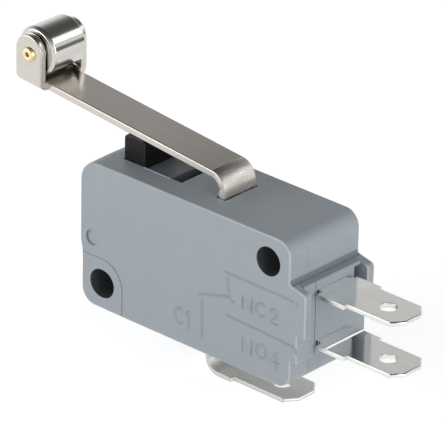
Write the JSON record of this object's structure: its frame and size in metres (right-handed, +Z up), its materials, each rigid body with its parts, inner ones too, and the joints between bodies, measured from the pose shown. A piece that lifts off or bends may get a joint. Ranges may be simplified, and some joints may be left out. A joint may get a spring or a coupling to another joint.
{
  "type": "roller lever micro switch",
  "caption": "Snap-action micro switch in a moulded grey housing, with a long hinged lever that carries a steel roller, a black plunger under it and blade terminals.",
  "frame": {"origin": "middle of the round fixing hole, on the housing's middle plane", "axes": "+X along the housing towards the end terminals, +Y from the front to the rear face, +Z up towards the lever"},
  "size_m": [0.0515, 0.0104, 0.03],
  "materials": {
    "housing": "moulded, satin",
    "plunger": "moulded, satin",
    "lever": "rolled strip, satin",
    "roller": "polished",
    "pin": "turned",
    "terminal": "tin plated",
    "contact": "silver faced",
    "contact_arm": "rolled spring bronze",
    "actuating_arm": "rolled strip",
    "spring": "drawn wire"
  },
  "bodies": {
    "housing": {"case": "housing", "cover": "housing", "common_terminal": "terminal", "nc_terminal": "terminal", "no_terminal": "terminal", "nc_contact": "contact", "no_contact": "contact"},
    "lever": {"lever": "lever", "roller_pin": "pin"},
    "roller": {"roller": "roller"},
    "plunger": {"plunger": "plunger"},
    "contact_arm": {"contact_arm": "contact_arm", "moving_contact": "contact"},
    "actuating_arm": {"actuating_arm": "actuating_arm"},
    "snap_spring": {"snap_spring": "spring"}
  },
  "joints": [
    {"name": "lever_pivot", "type": "hinge", "parent": "housing", "child": "lever", "pos_m": [-0.00873, 0, 0.0016], "axis": [0, -1, 0], "range_deg": [0, 10], "stiffness_Nm_per_rad": 0.06, "springref_deg": -6.88},
    {"name": "roller_spin", "type": "hinge", "parent": "lever", "child": "roller", "pos_m": [-0.03429, 0, 0.01069], "axis": [0, 1, 0], "continuous": true},
    {"name": "plunger_slide", "type": "slide", "parent": "housing", "child": "plunger", "axis": [0, 0, -1], "range_m": [0, 0.0021]},
    {"name": "actuating_arm_pivot", "type": "hinge", "parent": "housing", "child": "actuating_arm", "pos_m": [-0.01, 0, -0.00788], "axis": [0, -1, 0], "range_deg": [0, 10.2]},
    {"name": "contact_arm_pivot", "type": "hinge", "parent": "housing", "child": "contact_arm", "pos_m": [-0.0095, 0, -0.00583], "axis": [0, 1, 0], "range_deg": [0, 8.9], "deforming": ["snap_spring"]},
    {"name": "spring_eye_pivot", "type": "hinge", "parent": "actuating_arm", "child": "snap_spring", "pos_m": [-0.01556, 0, -0.00591], "axis": [0, -1, 0], "range_deg": [-8.5, 0]}
  ],
  "couplings": [
    {"joint": "plunger_slide", "follows": "lever_pivot", "m_per_rad": 0.011914},
    {"joint": "actuating_arm_pivot", "follows": "lever_pivot", "ratio": 1.0118},
    {"joint": "contact_arm_pivot", "follows": "lever_pivot", "ratio": 0.8856},
    {"joint": "spring_eye_pivot", "follows": "lever_pivot", "ratio": -0.83732}
  ]
}
